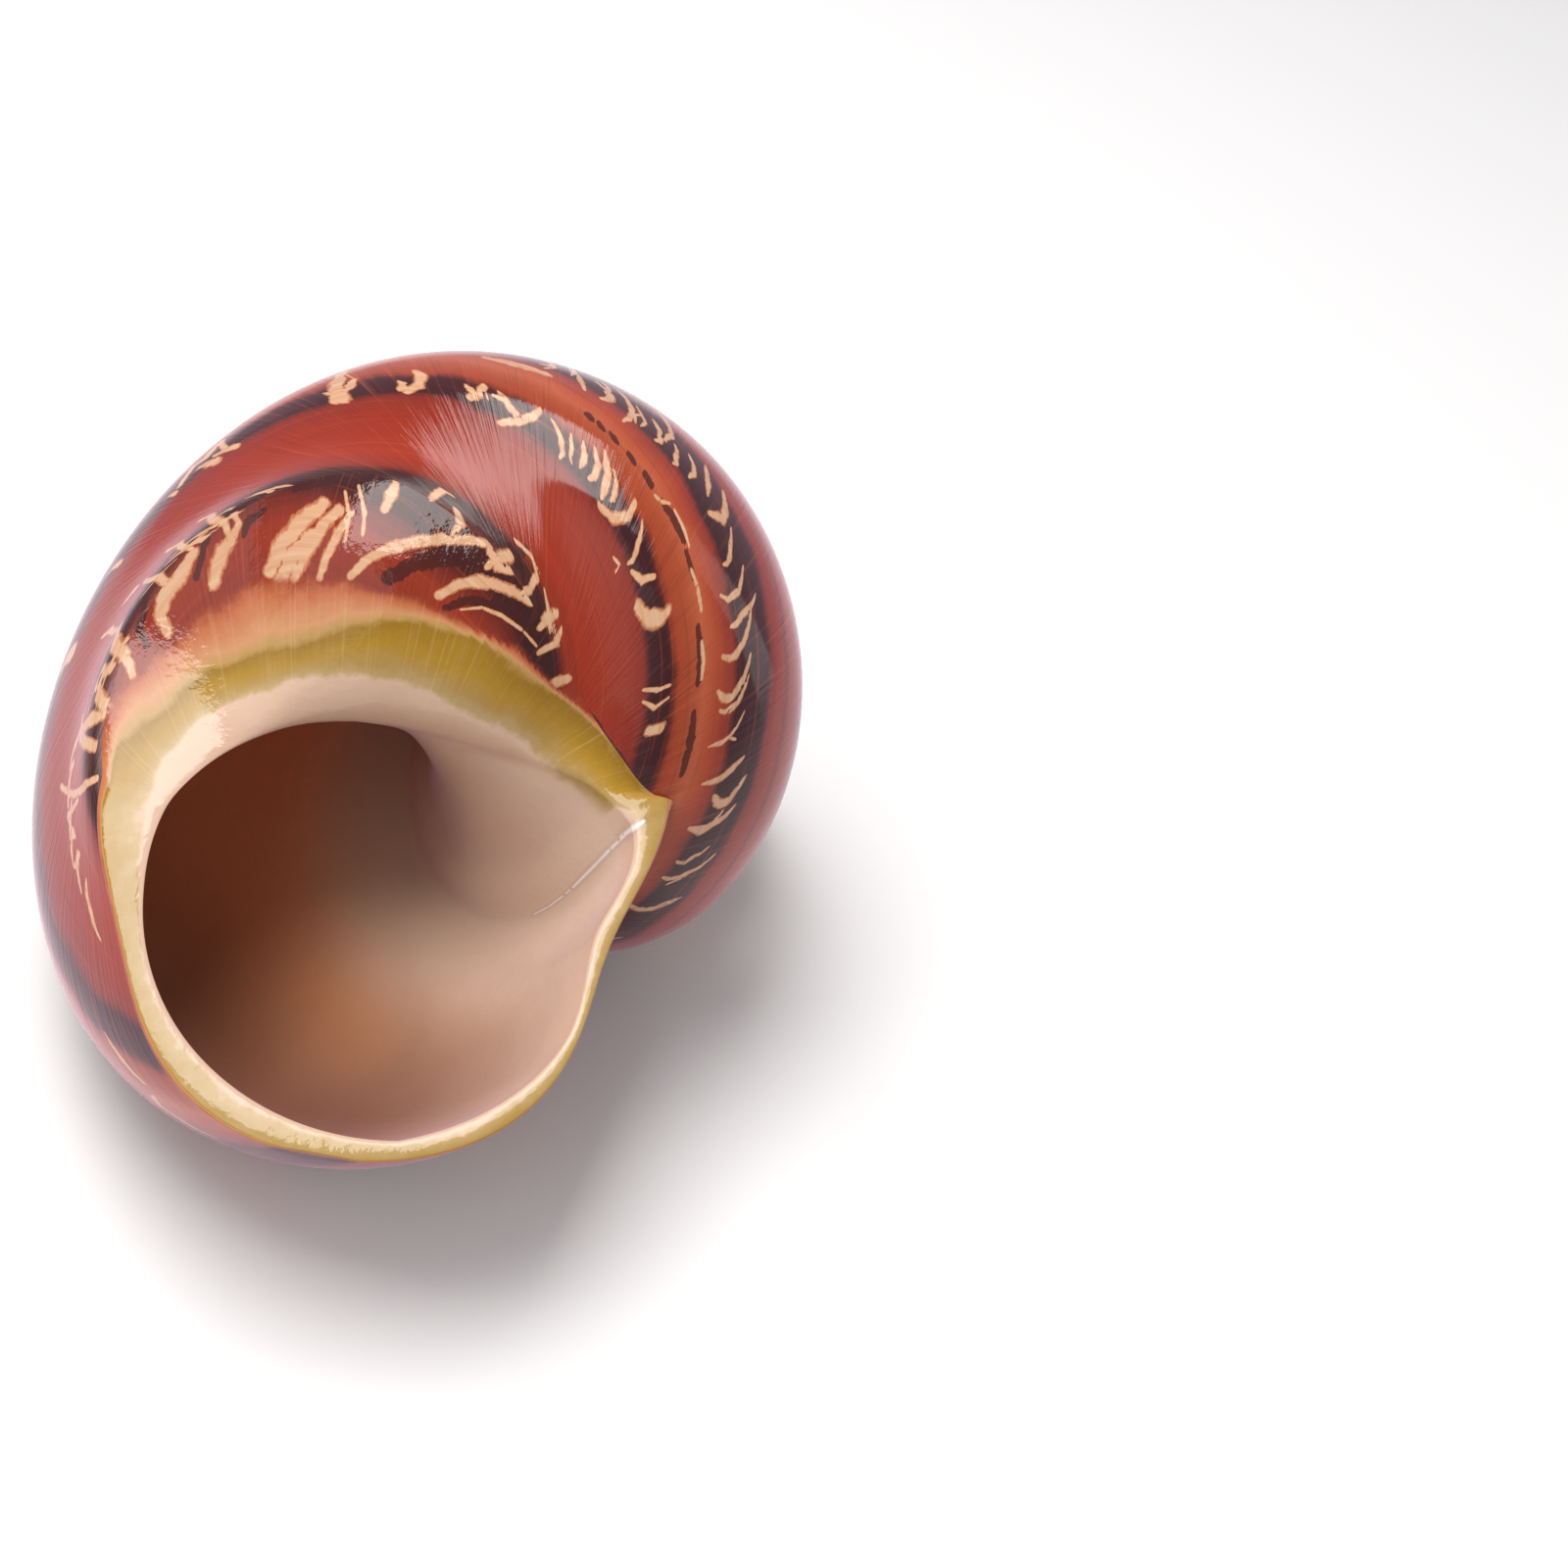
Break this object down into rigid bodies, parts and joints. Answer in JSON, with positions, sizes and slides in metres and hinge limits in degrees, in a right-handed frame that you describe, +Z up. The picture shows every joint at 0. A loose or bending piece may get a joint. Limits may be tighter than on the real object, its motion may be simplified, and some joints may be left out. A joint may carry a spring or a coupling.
{
  "type": "turban shell",
  "caption": "Polished turban sea shell: a hollow right-handed spiral with a round open mouth, a glazed inner lip and banded red-brown whorls, lying on its back.",
  "frame": {"origin": "middle of the footprint, on the surface that the shell lies on", "axes": "+Z up as it lies on its back with the mouth upward, +Y the way from the mouth's lower lip towards the spire's side, the longest of the three extents"},
  "size_m": [0.0534, 0.0598, 0.0423],
  "materials": {
    "shell": "polished"
  },
  "bodies": {
    "root": {"turban_shell": "shell"}
  },
  "joints": []
}
